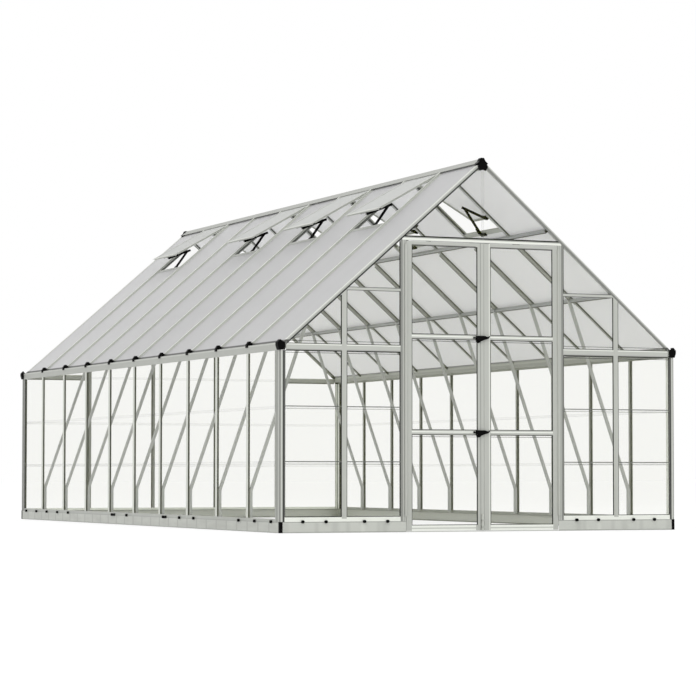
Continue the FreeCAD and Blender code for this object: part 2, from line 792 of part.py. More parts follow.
def build_walls():
    sheets = []
    strips = []
    near = skin + sheet_play
    far = near + wall_sheet
    low = base_height + skin + sheet_play
    for side in (-1, 1):
        for k in range(bay_count):
            y0, y1, cap0, cap1 = side_edges(k)
            for z0, z1 in sheet_heights(low, gutter_floor - sheet_play, strip_z):
                sheets.append(block(side * (half_width - near), side * (half_width - far), y0 + sheet_play,
                                    y1 - sheet_play, z0, z1))
            for z in strip_z:
                start = Vec(side * half_width, cap0 + sheet_play, z)
                strips.append(bar(strip_section(), start, Vec(0, 0, 1), Vec(-side, 0, 0),
                                  Vec(0, cap1 - cap0 - 2 * sheet_play, 0)))
    export("side_wall_panels", sheets)
    sheets = []
    step_x = eave_inner_x - sheet_play
    top_n = -edge_slot_top - sheet_play
    flat_z = ridge_foot_bottom - sheet_play
    flat_x = (top_n - (flat_z - ridge_z) * cos_roof) / sin_roof
    wide = half_width
    half = [(flat_x, flat_z), (step_x, roof_z(step_x, top_n)), (step_x, eave_bottom - sheet_play)]
    half += [(wide, eave_bottom - sheet_play), (wide, 0)]
    region = upright(half + [(-x, z) for x, z in reversed(half)], -half_length, half_length)
    for sign in (-1, 1):
        y0 = sign * (half_length - near)
        y1 = sign * (half_length - far)
        for bay in gable_bays(sign):
            x0 = bay[0] + sheet_play
            x1 = bay[1] - sheet_play
            gap = web_half + sheet_play
            joints = strip_z
            if has_gable_bar(sign, bay):
                heights = sheet_heights(low, transom_z - gap, joints)
                heights += [(transom_z + gap, gable_bar_z - gap), (gable_bar_z + gap, ridge_z)]
            elif has_transom(sign, bay):
                heights = sheet_heights(low, transom_z - gap, joints) + [(transom_z + gap, ridge_z)]
            else:
                joints = strip_z + (transom_z,)
                heights = sheet_heights(low, ridge_z, joints)
            for z0, z1 in heights:
                sheets.append(block(x0, x1, y0, y1, z0, z1).common(region))
            for z in joints:
                start = Vec(bay[2] + sheet_play, sign * half_length, z)
                strips.append(bar(strip_section(), start, Vec(0, 0, 1), Vec(0, -sign, 0),
                                  Vec(bay[3] - bay[2] - 2 * sheet_play, 0, 0)))
    gap = strip_web_half + sheet_play
    low = header_bottom + header_height / 2 + sheet_play
    y0 = -half_length + near
    y1 = -half_length + far
    far_x = door_tube_x - sheet_play
    for side in (-1, 1):
        sheets.append(block(side * gap, side * far_x, y0, y1, low, ridge_z).common(region))
    middle = bar(strip_section(), Vec(0, -half_length, header_top), Vec(1, 0, 0), Vec(0, 1, 0),
                 Vec(0, 0, flat_z - header_top))
    strips.append(middle)
    export("gable_panels", sheets)
    export("panel_strips", strips)


def build_roof_panels():
    top_n = -skin - sheet_play
    low_n = top_n - roof_sheet
    end_s = (half_width - sheet_overhang) / cos_roof
    ridge_s = (web_half + sheet_play - low_n * sin_roof) / cos_roof
    sill_s = sill_web_s + skin + sheet_play
    panels = []
    for side in (-1, 1):
        for k in range(bay_count):
            y0 = frame_y[k] + web_half + sheet_play
            y1 = frame_y[k + 1] - web_half - sheet_play
            if k == 0:
                y0 = frame_y[0] + edge_tube_width + sheet_play
            if k == bay_count - 1:
                y1 = frame_y[-1] - edge_tube_width - sheet_play
            start = sill_s if has_vent[k] else ridge_s
            points = [(start, top_n), (end_s, top_n), (end_s, low_n), (start, low_n)]
            panels.append(sloped(points, side, y0, y1))
    export("roof_panels", panels)


# Vent sills between the rafters and the black opener brackets under them
def build_vent_sills():
    sills = []
    brackets = []
    lip_s = vent_bottom_s + sill_gap
    low = sill_bottom_n
    floor = low + skin
    web_end = sill_web_s + skin
    outline = [(lip_s, low), (sill_end_s, low), (sill_end_s, floor), (web_end, floor), (web_end, -skin)]
    outline += [(sill_end_s, -skin), (sill_end_s, 0), (sill_web_s, 0), (sill_web_s, floor)]
    outline += [(lip_s + skin, floor), (lip_s + skin, sill_lip_n), (lip_s, sill_lip_n)]
    reach = bay_pitch / 2 - cap_half
    s, n = opener_foot
    tab = [(s - link_eye, n), (s + link_eye, n), (s + link_eye, low), (s - link_eye, low)]
    y0 = 2 * side_play + link_skin
    for side, y in vent_places():
        sills.append(sloped(outline, side, y - reach, y + reach))
        start = on_slope(side, opener_foot, y + y0)
        eye = rod(start, Vec(0, 1, 0), link_eye, link_skin)
        hole = rod(start, Vec(0, 1, 0), pin_radius + pin_play, link_skin)
        plate = sloped(tab, side, y + y0, y + y0 + link_skin)
        brackets.append(plate.fuse(eye).cut(hole).removeSplitter())
    export("vent_sills", sills)
    export("vent_brackets", brackets)


# Vent flap, drawn shut and then turned up about its hinge bead
def build_flap(side, y, number):
    inner_n = vent_lip_lift - vent_seat_play - roof_sheet
    seat_n = inner_n - vent_seat_play
    low_n = seat_n - flange_skin
    lip_top = vent_lip_lift + skin
    wall = bay_pitch / 2 - cap_half - vent_side_gap
    lip_out = wall + vent_lip_lap
    lip_in = wall - vent_lip_width
    knuckle_in = bead_radius + hinge_play
    knuckle_out = knuckle_in + knuckle_wall
    centre = on_slope(side, vent_hinge, y)
    ring_start = on_slope(side, vent_hinge, y - wall)
    ring = rod(ring_start, Vec(0, 1, 0), knuckle_out, 2 * wall)
    ring = ring.cut(rod(ring_start, Vec(0, 1, 0), knuckle_in, 2 * wall))
    reach = 2 * knuckle_out
    mouth = [(vent_hinge_s, 0.0)]
    for angle in (vent_mouth_end - 360.0, vent_mouth_start):
        turn = math.radians(angle)
        mouth.append((vent_hinge_s + reach * math.cos(turn), reach * math.sin(turn)))
    ring = ring.cut(sloped(mouth, side, y - wall, y + wall))
    top_s = vent_top_s
    end_s = top_s + vent_lip_width
    top = [(top_s, low_n), (end_s, low_n), (end_s, seat_n), (top_s + skin, seat_n)]
    top += [(top_s + skin, vent_lip_lift), (end_s, vent_lip_lift), (end_s, lip_top), (top_s, lip_top)]
    top_bar = ring.fuse(sloped(top, side, y - wall, y + wall)).removeSplitter()
    foot_s = vent_bottom_s - vent_lip_width
    web_s = vent_bottom_s - skin
    lap_s = vent_bottom_s + vent_bottom_lap
    foot = [(foot_s, vent_lip_lift), (web_s, vent_lip_lift), (web_s, seat_n), (foot_s, seat_n)]
    foot += [(foot_s, low_n), (web_s, low_n), (web_s, -vent_skirt), (vent_bottom_s, -vent_skirt)]
    foot += [(vent_bottom_s, vent_lip_lift), (lap_s, vent_lip_lift), (lap_s, lip_top), (foot_s, lip_top)]
    foot_bar = sloped(foot, side, y - wall, y + wall)
    head_s, head_n = opener_head
    lug = [(head_s - link_eye, head_n), (head_s + link_eye, head_n)]
    lug += [(head_s + link_eye, low_n), (head_s - link_eye, low_n)]
    y1 = y - 2 * side_play - link_skin
    eye_start = on_slope(side, opener_head, y1)
    eye = rod(eye_start, Vec(0, -1, 0), link_eye, link_skin)
    hole = rod(eye_start, Vec(0, -1, 0), pin_radius + pin_play, link_skin)
    lug_plate = sloped(lug, side, y1 - link_skin, y1).fuse(eye).cut(hole)
    foot_bar = foot_bar.fuse(lug_plate).removeSplitter()
    pieces = [top_bar, foot_bar]
    run = down(side) * (foot_s - end_s)
    for hand in (-1, 1):
        web = wall - skin
        section = [(lip_in, vent_lip_lift), (web, vent_lip_lift), (web, seat_n), (lip_in, seat_n)]
        section += [(lip_in, low_n), (web, low_n), (web, -vent_skirt), (wall, -vent_skirt)]
        section += [(wall, vent_lip_lift), (lip_out, vent_lip_lift), (lip_out, lip_top), (lip_in, lip_top)]
        start = on_slope(side, (end_s, 0.0), y)
        pieces.append(bar(section, start, Vec(0, hand, 0), out(side), run))
    sheet_top = vent_lip_lift - vent_seat_play
    edge_s = top_s + skin + sheet_play
    edge_y = wall - skin - sheet_play
    far_s = web_s - sheet_play
    sheet = [(edge_s, sheet_top), (far_s, sheet_top), (far_s, inner_n), (edge_s, inner_n)]
    panel = sloped(sheet, side, y - edge_y, y + edge_y)
    for solid in pieces + [panel]:
        solid.rotate(centre, Vec(0, -side, 0), vent_open)
    export("vent_%d_frame" % number, pieces)
    export("vent_%d_panel" % number, [panel])


# Pivots of an opener with the flap standing open
def open_pivots():
    turn = math.radians(vent_open)
    ds = opener_head[0] - vent_hinge_s
    dn = opener_head[1]
    head_s = vent_hinge_s + ds * math.cos(turn) - dn * math.sin(turn)
    head_n = ds * math.sin(turn) + dn * math.cos(turn)
    gap_s = head_s - opener_foot[0]
    gap_n = head_n - opener_foot[1]
    gap = math.hypot(gap_s, gap_n)
    along = (lower_link ** 2 - upper_link ** 2 + gap ** 2) / (2 * gap)
    aside = math.sqrt(lower_link ** 2 - along ** 2)
    elbow_s = opener_foot[0] + (along * gap_s - aside * gap_n) / gap
    elbow_n = opener_foot[1] + (along * gap_n + aside * gap_s) / gap
    return (head_s, head_n), (elbow_s, elbow_n)


# Opener arm with a fork and pin at its pivot, on one hand of the middle of the bay
def build_arm(side, y, pivot, elbow, hand, tail):
    length = math.hypot(elbow[0] - pivot[0], elbow[1] - pivot[1])
    ds = (elbow[0] - pivot[0]) / length
    dn = (elbow[1] - pivot[1]) / length

    def slab(near, far, depth0, depth1):
        spots = [(near, link_half), (far, link_half), (far, -link_half), (near, -link_half)]
        points = [(pivot[0] + ds * a - dn * b, pivot[1] + dn * a + ds * b) for a, b in spots]
        ends = sorted((y + hand * depth0, y + hand * depth1))
        return sloped(points, side, ends[0], ends[1])

    def disc(centre, radius, depth0, depth1):
        ends = sorted((y + hand * depth0, y + hand * depth1))
        return rod(on_slope(side, centre, ends[0]), Vec(0, 1, 0), radius, ends[1] - ends[0])

    inner = side_play
    inner_end = inner + link_skin
    outer = inner_end + 2 * side_play + link_skin
    outer_end = outer + link_skin
    arm = slab(0.0, length + tail, inner, inner_end)
    parts = [disc(elbow, link_eye, inner, inner_end), disc(pivot, link_eye, inner, inner_end)]
    parts += [slab(0.0, fork_end, outer, outer_end), disc(pivot, link_eye, outer, outer_end)]
    parts += [slab(fork_start, fork_end, inner, outer_end), disc(pivot, pin_radius, inner, outer_end)]
    return arm.multiFuse(parts).removeSplitter()


def build_vents():
    head, elbow = open_pivots()
    for number, (side, y) in enumerate(vent_places(), 1):
        build_flap(side, y, number)
        export("vent_%d_lower_arm" % number, [build_arm(side, y, opener_foot, elbow, 1, 0.0)])
        export("vent_%d_upper_arm" % number, [build_arm(side, y, head, elbow, -1, link_tail)])


# Place of the drop bolt in front of the left leaf and half the width of its guides
def drop_place():
    rod_y = -half_length - drop_radius - bolt_play - drop_guide_wall / 2
    return rod_y, drop_radius + bolt_play + drop_guide_wall


def drop_guides():
    rod_y, wide = drop_place()
    guides = []
    for z in drop_guide_z:
        guide = block(drop_x - wide, drop_x + wide, rod_y - wide, -half_length, z, z + drop_guide_height)
        bore = rod(Vec(drop_x, rod_y, z), Vec(0, 0, 1), drop_radius + bolt_play, drop_guide_height)
        guides.append(guide.cut(bore))
    return guides


# Door leaf: stiles, rails, hinge knuckle and three sheets
def build_leaf(side, name, fittings):
    face_y = -half_length
    hinge_edge = side * (hinge_x - leaf_edge_gap)
    meet_edge = meeting_x + side * meeting_gap / 2
    top = header_bottom - leaf_top_gap
    rise = Vec(0, 0, top - leaf_bottom)
    into = Vec(0, 1, 0)
    outline, hollow = edge_section(hinge_stile, leaf_depth, wall_slot)
    stile = bar(outline, Vec(hinge_edge, face_y, leaf_bottom), Vec(-side, 0, 0), into, rise, hollow)
    axis_y = face_y - hinge_lead
    low = leaf_bottom + base_height + hinge_end_gap
    tall = header_bottom - hinge_end_gap - low
    foot = Vec(side * hinge_x, axis_y, low)
    knuckle_in = bead_radius + hinge_play
    knuckle_out = knuckle_in + knuckle_wall
    ring = rod(foot, Vec(0, 0, 1), knuckle_out, tall).cut(rod(foot, Vec(0, 0, 1), knuckle_in, tall))
    reach = 2 * knuckle_out
    mouth = [(0.0, 0.0)]
    steps = 4
    for i in range(steps + 1):
        turn = math.radians(knuckle_end + (knuckle_start + 360.0 - knuckle_end) * i / steps)
        mouth.append((reach * math.cos(turn), reach * math.sin(turn)))
    ring = ring.cut(bar(mouth, foot, Vec(side, 0, 0), into, Vec(0, 0, tall)))
    web_x = side * (hinge_x - knuckle_in)
    web = block(web_x, web_x - side * knuckle_wall, axis_y, face_y + neck_half, low, low + tall)
    pieces = [stile.multiFuse([ring, web]).removeSplitter()]
    outline, hollow = edge_section(meeting_stile, leaf_depth, wall_slot)
    pieces.append(bar(outline, Vec(meet_edge, face_y, leaf_bottom), Vec(side, 0, 0), into, rise, hollow))
    x0 = meet_edge + side * meeting_stile
    x1 = hinge_edge - side * hinge_stile
    run = Vec(x1 - x0, 0, 0)
    outline, hollow = edge_section(leaf_bottom_rail, leaf_depth, wall_slot)
    pieces.append(bar(outline, Vec(x0, face_y, leaf_bottom), Vec(0, 0, 1), into, run, hollow))
    outline, hollow = edge_section(leaf_top_rail, leaf_depth, wall_slot)
    pieces.append(bar(outline, Vec(x0, face_y, top), Vec(0, 0, -1), into, run, hollow))
    section = glazing_section(leaf_rail_half, wall_slot, leaf_depth, 0.0)
    for z in leaf_rail_z:
        pieces.append(bar(section, Vec(x0, face_y, z), Vec(0, 0, 1), into, run))
    export(name + "_frame", pieces + fittings)
    sheet_x0 = x0 - side * (corner_slot_depth - sheet_play)
    sheet_x1 = x1 + side * (corner_slot_depth - sheet_play)
    gap = web_half + sheet_play
    low = leaf_bottom + leaf_bottom_rail - corner_slot_depth + sheet_play
    high = top - leaf_top_rail + corner_slot_depth - sheet_play
    near = face_y + skin + sheet_play
    far = near + wall_sheet
    sheets = []
    for z in leaf_rail_z:
        sheets.append(block(sheet_x0, sheet_x1, near, far, low, z - gap))
        low = z + gap
    sheets.append(block(sheet_x0, sheet_x1, near, far, low, high))
    export(name + "_panels", sheets)


# Latches: bodies with a ring, sliding bolts, keepers and the drop bolt
def build_latches():
    face_y = -half_length
    axis_y = face_y - latch_lead
    left_end = meeting_x - meeting_gap / 2
    right_start = meeting_x + meeting_gap / 2
    body_start = left_end - latch_length
    bodies = []
    keepers = []
    names = ("lower_latch_bolt", "upper_latch_bolt")
    for z, name in zip(latch_axis_z, names):
        body = block(body_start, left_end, face_y - latch_depth, face_y, z - latch_half, z + latch_half)
        bore = rod(Vec(body_start, axis_y, z), Vec(1, 0, 0), bolt_radius + bolt_play, latch_length)
        ring_z = z - latch_half - ring_radius + ring_wire
        ring_spot = Vec(body_start + ring_inset, axis_y, ring_z)
        ring = Part.makeTorus(ring_radius, ring_wire, ring_spot, Vec(0, 1, 0))
        bodies.append(body.cut(bore).fuse(ring.cut(bore)).removeSplitter())
        pin_start = body_start - bolt_stick
        pin_length = bolt_stick + latch_length - bolt_play
        pin = rod(Vec(pin_start, axis_y, z), Vec(1, 0, 0), bolt_radius, pin_length)
        knob = rod(Vec(pin_start - knob_length, axis_y, z), Vec(1, 0, 0), knob_radius, knob_length)
        export(name, [pin.fuse(knob)])
        end_x = right_start + keeper_length
        shape = [(right_start, z - latch_half), (right_start, z + latch_half)]
        shape += [(end_x - latch_half, z + keeper_tip), (end_x, z + latch_half)]
        shape += [(end_x - latch_half, z - keeper_tip)]
        keeper = upright(shape, face_y - latch_depth, face_y)
        socket = rod(Vec(right_start, axis_y, z), Vec(1, 0, 0), bolt_radius + bolt_play, keeper_bore)
        keepers.append(keeper.cut(socket))
    rod_y, wide = drop_place()
    shaft = rod(Vec(drop_x, rod_y, drop_bottom), Vec(0, 0, 1), drop_radius, drop_length)
    knob_z = drop_bottom + drop_length - drop_knob_height
    knob = rod(Vec(drop_x, rod_y, knob_z), Vec(0, -1, 0), knob_radius / 2, wide)
    export("drop_bolt", [shaft.fuse(knob)])
    export("latch_bodies", bodies)
    export("latch_keepers", keepers)


build_base()
build_base_caps()
build_bottom_rails()
build_corner_posts()
build_wall_posts()
build_eave_beams()
build_rafters()
build_roof_end_caps()
build_inner_braces()
build_purlins()
build_ridge_beam()
build_gable_transoms()
build_door_frame()
build_walls()
build_roof_panels()
build_vent_sills()
build_vents()
build_leaf(-1, "door_leaf_left", drop_guides())
build_leaf(1, "door_leaf_right", [])
build_latches()
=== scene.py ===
import bpy
import bmesh
import json
import math
from mathutils import Matrix, Vector


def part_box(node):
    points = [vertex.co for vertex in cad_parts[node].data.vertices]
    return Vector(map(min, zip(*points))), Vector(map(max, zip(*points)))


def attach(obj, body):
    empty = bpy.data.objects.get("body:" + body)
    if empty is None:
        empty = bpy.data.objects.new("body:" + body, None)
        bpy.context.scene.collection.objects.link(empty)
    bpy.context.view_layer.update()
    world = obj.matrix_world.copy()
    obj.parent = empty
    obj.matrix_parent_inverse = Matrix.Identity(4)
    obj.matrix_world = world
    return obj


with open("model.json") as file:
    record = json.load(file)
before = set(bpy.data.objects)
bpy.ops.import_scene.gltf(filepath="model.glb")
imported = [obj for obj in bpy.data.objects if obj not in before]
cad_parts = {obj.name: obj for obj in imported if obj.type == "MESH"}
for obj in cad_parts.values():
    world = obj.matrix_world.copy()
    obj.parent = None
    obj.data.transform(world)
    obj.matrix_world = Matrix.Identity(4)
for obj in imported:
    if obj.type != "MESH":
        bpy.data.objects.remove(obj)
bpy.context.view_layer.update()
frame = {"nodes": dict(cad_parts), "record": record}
nodes = frame["nodes"]
scene = bpy.context.scene
print("frame loaded")

# camera fitted to the photo, metres and degrees
cameraLook = {"azimuth": -23.321, "elevation": -2.738, "roll": 0.025, "lens": 136.6, "sensor": 36.0,
              "place": (-8.149, -19.593, 0.396), "nearest": 0.1, "farthest": 200.0}


def makeCamera(look):
    turn, lift = math.radians(look["azimuth"]), math.radians(look["elevation"])
    back = Vector((math.sin(turn) * math.cos(lift), -math.cos(turn) * math.cos(lift), math.sin(lift)))
    right = Vector((math.cos(turn), math.sin(turn), 0.0))
    up = back.cross(right)
    basis = Matrix((right, up, back)).transposed().to_4x4()
    data = bpy.data.cameras.new("photoCamera")
    data.lens = look["lens"]
    data.sensor_width = look["sensor"]
    data.clip_start = look["nearest"]
    data.clip_end = look["farthest"]
    camera = bpy.data.objects.new("photoCamera", data)
    scene.collection.objects.link(camera)
    roll = Matrix.Rotation(math.radians(look["roll"]), 4, "Z")
    camera.matrix_world = Matrix.Translation(look["place"]) @ basis @ roll
    scene.camera = camera


makeCamera(cameraLook)
print("camera placed")

# places read from the frame
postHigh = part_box("corner_posts")[1]
halfWidth, halfLength = postHigh.x, postHigh.y
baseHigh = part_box("base_rails")[1]
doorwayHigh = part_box("door_frame")[1]
leafLow, leafHigh = (corner.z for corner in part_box("door_leaf_left_frame"))
bayCount = 10
bayPitch = 2.0 * halfLength / bayCount

# middles of bars and joints: front gable posts in x, purlins down the slope, the others in z;
# a pane edge within postReach of a gable post lies behind it
gablePlaces = {"post": 1.053, "postReach": 0.05, "transom": 1.2585, "bar": 1.6645}
leafRails = (0.6865, 1.3480)
sheetJoints = (0.474, 0.849)
purlinPlaces = (0.692, 1.373)

# the two roof planes, and the hinge of a vent flap with its angle at rest
ridgeZ, eaveZ = 2.590, 1.267
roofAngle = math.atan2(ridgeZ - eaveZ, halfWidth)
roofCos, roofSin = math.cos(roofAngle), math.sin(roofAngle)
flapHinge = {"s": 0.020, "open": math.radians(11.5)}


# slope coordinates: s runs down from the ridge, n points out of the roof
def onSlope(side, s, n, y):
    return Vector((side * (s * roofCos + n * roofSin), y, ridgeZ - s * roofSin + n * roofCos))


# shader helpers
def newMaterial(name):
    material = bpy.data.materials.new(name)
    material.use_nodes = True
    shader = material.node_tree.nodes["Principled BSDF"]
    return material, material.node_tree, shader


def groupWith(name, inputs, outputs):
    group = bpy.data.node_groups.new(name, "ShaderNodeTree")
    for socket, kind in inputs:
        group.interface.new_socket(socket, in_out="INPUT", socket_type="NodeSocket" + kind)
    for socket, kind in outputs:
        group.interface.new_socket(socket, in_out="OUTPUT", socket_type="NodeSocket" + kind)
    return group, group.nodes.new("NodeGroupInput"), group.nodes.new("NodeGroupOutput")


mottleLook = {"detail": 4.0, "reliefDepth": 0.001}


# two colours mixed by a soft noise
def mottleGroup(look):
    group, source, target = groupWith(
        "mottle", [("Light", "Color"), ("Dark", "Color"), ("Scale", "Float"), ("Stretch", "Vector")],
        [("Color", "Color"), ("Height", "Float")])
    put, link = group.nodes.new, group.links.new
    place, stretch = put("ShaderNodeTexCoord"), put("ShaderNodeVectorMath")
    noise, mix = put("ShaderNodeTexNoise"), put("ShaderNodeMix")
    stretch.operation = "MULTIPLY"
    mix.data_type = "RGBA"
    noise.inputs["Detail"].default_value = look["detail"]
    link(place.outputs["Object"], stretch.inputs[0])
    link(source.outputs["Stretch"], stretch.inputs[1])
    link(stretch.outputs["Vector"], noise.inputs["Vector"])
    link(source.outputs["Scale"], noise.inputs["Scale"])
    link(noise.outputs["Fac"], mix.inputs["Factor"])
    link(source.outputs["Dark"], mix.inputs["A"])
    link(source.outputs["Light"], mix.inputs["B"])
    link(mix.outputs["Result"], target.inputs["Color"])
    link(noise.outputs["Fac"], target.inputs["Height"])
    return group


# a band of another colour across one direction, kept to a reach along a second one
def bandGroup():
    group, source, target = groupWith(
        "band", [("Color", "Color"), ("Band", "Color"), ("Fold", "Float"), ("Axis", "Vector"),
                 ("Centre", "Float"), ("Half", "Float"), ("Soft", "Float"), ("Period", "Float"),
                 ("Reach Axis", "Vector"), ("Reach Centre", "Float"), ("Reach Half", "Float")],
        [("Color", "Color")])
    link = group.links.new

    def mathNode(operation, *values):
        node = group.nodes.new("ShaderNodeMath")
        node.operation = operation
        for index, value in enumerate(values):
            if isinstance(value, float):
                node.inputs[index].default_value = value
            else:
                link(value, node.inputs[index])
        return node.outputs[0]

    def vectorNode(operation, first, second=None):
        node = group.nodes.new("ShaderNodeVectorMath")
        node.operation = operation
        link(first, node.inputs[0])
        if second is not None:
            link(second, node.inputs[1])
        return node

    # 1 inside the half width, falling to 0 over the soft edge
    def window(offset, half):
        past = mathNode("SUBTRACT", mathNode("ABSOLUTE", offset), half)
        clear = mathNode("SUBTRACT", 1.0, mathNode("DIVIDE", past, source.outputs["Soft"]))
        return mathNode("MINIMUM", mathNode("MAXIMUM", clear, 0.0), 1.0)

    place = group.nodes.new("ShaderNodeTexCoord").outputs["Object"]
    folded = group.nodes.new("ShaderNodeMix")
    folded.data_type = "VECTOR"
    link(source.outputs["Fold"], folded.inputs["Factor"])
    link(place, folded.inputs["A"])
    link(vectorNode("ABSOLUTE", place).outputs["Vector"], folded.inputs["B"])
    spot = folded.outputs["Result"]
    along = vectorNode("DOT_PRODUCT", spot, source.outputs["Axis"]).outputs["Value"]
    across = vectorNode("DOT_PRODUCT", spot, source.outputs["Reach Axis"]).outputs["Value"]
    halfPeriod = mathNode("MULTIPLY", source.outputs["Period"], 0.5)
    offset = mathNode("SUBTRACT", along, source.outputs["Centre"])
    offset = mathNode("WRAP", offset, halfPeriod, mathNode("MULTIPLY", halfPeriod, -1.0))
    reach = window(mathNode("SUBTRACT", across, source.outputs["Reach Centre"]), source.outputs["Reach Half"])
    mix = group.nodes.new("ShaderNodeMix")
    mix.data_type = "RGBA"
    link(mathNode("MULTIPLY", window(offset, source.outputs["Half"]), reach), mix.inputs["Factor"])
    link(source.outputs["Color"], mix.inputs["A"])
    link(source.outputs["Band"], mix.inputs["B"])
    link(mix.outputs["Result"], target.inputs["Color"])
    return group


mottle, band = mottleGroup(mottleLook), bandGroup()


# the slightly green grey of the bars in this light
def grey(value, red=0.975, blue=0.925):
    return (value * red, value, value * blue)


flapTilt = roofAngle - flapHinge["open"]
axes = {"x": (1.0, 0.0, 0.0), "y": (0.0, 1.0, 0.0), "z": (0.0, 0.0, 1.0),
        "roof": (roofSin, 0.0, roofCos), "leftRoof": (-roofSin, 0.0, roofCos),
        "slope": (roofCos, 0.0, -roofSin), "flap": (math.sin(flapTilt), 0.0, math.cos(flapTilt))}
farApart = 1000.0  # past every piece: a band that doesn't repeat, a reach without an end
everywhere = ("z", 0.0, farApart)


# a band between two places; a fold of 1 mirrors it to the other side and the other gable
def span(axis, low, high, color, fold=1.0, soft=0.001, period=farApart, reach=everywhere):
    return {"Axis": axes[axis], "Centre": (low + high) / 2, "Half": (high - low) / 2,
            "Band": (*color, 1.0), "Fold": fold, "Soft": soft, "Period": period,
            "Reach Axis": axes[reach[0]], "Reach Centre": reach[1], "Reach Half": reach[2]}


# a band from low to high, both counted from a place
def beside(axis, place, low, high, color, **changes):
    return span(axis, place + low, place + high, color, **changes)


# the same bands beside each of several places
def besideEach(axis, places, bands, **changes):
    return tuple(beside(axis, place, *edges, **changes) for place in places for edges in bands)


# start is the colour under the first band, a socket or a plain value
def addLines(tree, start, stripes):
    color = start
    for stripe in stripes:
        step = tree.nodes.new("ShaderNodeGroup")
        step.node_tree = band
        for socket, value in stripe.items():
            step.inputs[socket].default_value = value
        if color is start and isinstance(start, tuple):
            step.inputs["Color"].default_value = start
        else:
            tree.links.new(color, step.inputs["Color"])
        color = step.outputs["Color"]
    return color


def makeFinish(name, look):
    material, tree, shader = newMaterial(name)
    node = tree.nodes.new("ShaderNodeGroup")
    node.node_tree = mottle
    node.inputs["Light"].default_value = (*look["light"], 1.0)
    node.inputs["Dark"].default_value = (*look["dark"], 1.0)
    node.inputs["Scale"].default_value = look["scale"]
    node.inputs["Stretch"].default_value = look["stretch"]
    if look["bump"]:
        relief = tree.nodes.new("ShaderNodeBump")
        relief.inputs["Strength"].default_value = look["bump"]
        relief.inputs["Distance"].default_value = mottleLook["reliefDepth"]
        tree.links.new(node.outputs["Height"], relief.inputs["Height"])
        tree.links.new(relief.outputs["Normal"], shader.inputs["Normal"])
    color = addLines(tree, node.outputs["Color"], look.get("lines", ()))
    tree.links.new(color, shader.inputs["Base Color"])
    # painted glow: emission laid on by the glow bands
    if "glowLines" in look:
        dark = (0.0, 0.0, 0.0, 1.0)
        tree.links.new(addLines(tree, dark, look["glowLines"]), shader.inputs["Emission Color"])
        shader.inputs["Emission Strength"].default_value = 1.0
    if "alphaLines" in look:
        clear = (look["Alpha"], look["Alpha"], look["Alpha"], 1.0)
        tree.links.new(addLines(tree, clear, look["alphaLines"]), shader.inputs["Alpha"])
    for socket in ("Metallic", "Roughness", "Alpha", "Specular IOR Level"):
        if socket in look:
            shader.inputs[socket].default_value = look[socket]
    return material


def metal(light, dark, lines=(), blue=0.925, **changes):
    look = {"light": grey(light, blue=blue), "dark": grey(dark, blue=blue), "scale": 9.0,
            "stretch": (1.0, 1.0, 0.25), "bump": 0.0, "Metallic": 0.1, "Roughness": 0.42, "Alpha": 1.0,
            "Specular IOR Level": 0.3, "lines": lines}
    return {**look, **changes}


def plastic(light, dark, alpha, **changes):
    look = {"light": light, "dark": dark, "scale": 2.0, "stretch": (1.0, 1.0, 1.0), "bump": 0.0,
            "Metallic": 0.0, "Roughness": 0.3, "Alpha": alpha, "Specular IOR Level": 0.3}
    return {**look, **changes}


# faces that the bands keep to: a direction, the place of the face and how far to either side
gableSkin, frontSkin = ("y", halfLength, 0.0035), ("y", -halfLength, 0.0035)
betweenGables = ("y", 0.0, halfLength - 0.0035)
sideSkin = ("x", halfWidth, 0.0018)
cornerInside = ("x", halfWidth - 0.0535, 0.0510)
openRails = ("x", 0.302, 0.245)
baseFace, baseSide = ("y", baseHigh.y, 0.0015), ("x", baseHigh.x, 0.0015)
baseInside = ("y", 0.0, baseHigh.y - 0.001)
frontOnly = {"fold": 0.0, "reach": ("y", -halfLength, 0.02)}
roofFace, slopeStart = ridgeZ * roofCos, -ridgeZ * roofSin
flapFace = onSlope(1.0, flapHinge["s"], 0.0, 0.0).dot(Vector(axes["flap"]))

# painted light and shade bands that several finishes share, and the greys of painted shade and painted
# highlight
paintedLightGreys = {"deep": grey(0.04), "dark": grey(0.09), "mid": grey(0.30), "pale": grey(0.68),
         "bright": grey(0.93)}
# painted shade inside the gable bars: dark on the web behind the outer skin, mid grey on the inner lip
gablePostPaintedShade = (beside("y", halfLength, -0.0155, -0.0028, paintedLightGreys["dark"]),
               beside("y", halfLength, -0.0200, -0.0155, grey(0.36)))
# painted light on the side-wall bars: painted shade on the web behind the outer skin, darker on the left
# wall, a painted highlight on the left wall's outer skin, and mid grey on the inner lip
sidePostPaintedLight = (beside("x", halfWidth, -0.0155, -0.0028, grey(0.22), fold=0.0),
              beside("x", -halfWidth, 0.0028, 0.0155, grey(0.06), fold=0.0),
              beside("x", -halfWidth, -0.0010, 0.0018, grey(0.80), fold=0.0),
              beside("x", halfWidth, -0.0200, -0.0155, grey(0.42)))
# painted shadow along the foot of the roof, just above the eave
roofFootShadow = beside("z", eaveZ, 0.017, 0.039, paintedLightGreys["dark"])
# painted light on the undersides of the roof and flap sheets: a near white colour and a glow, so they read
# bright from inside
underSidePaintedLight, underSidePaintedGlow = (0.95, 0.95, 0.95), (0.15, 0.15, 0.155)
roofUnder = ("roof", roofFace, -0.0300, -0.0043)
flapUnder = ("flap", flapFace, -0.0300, -0.0016)
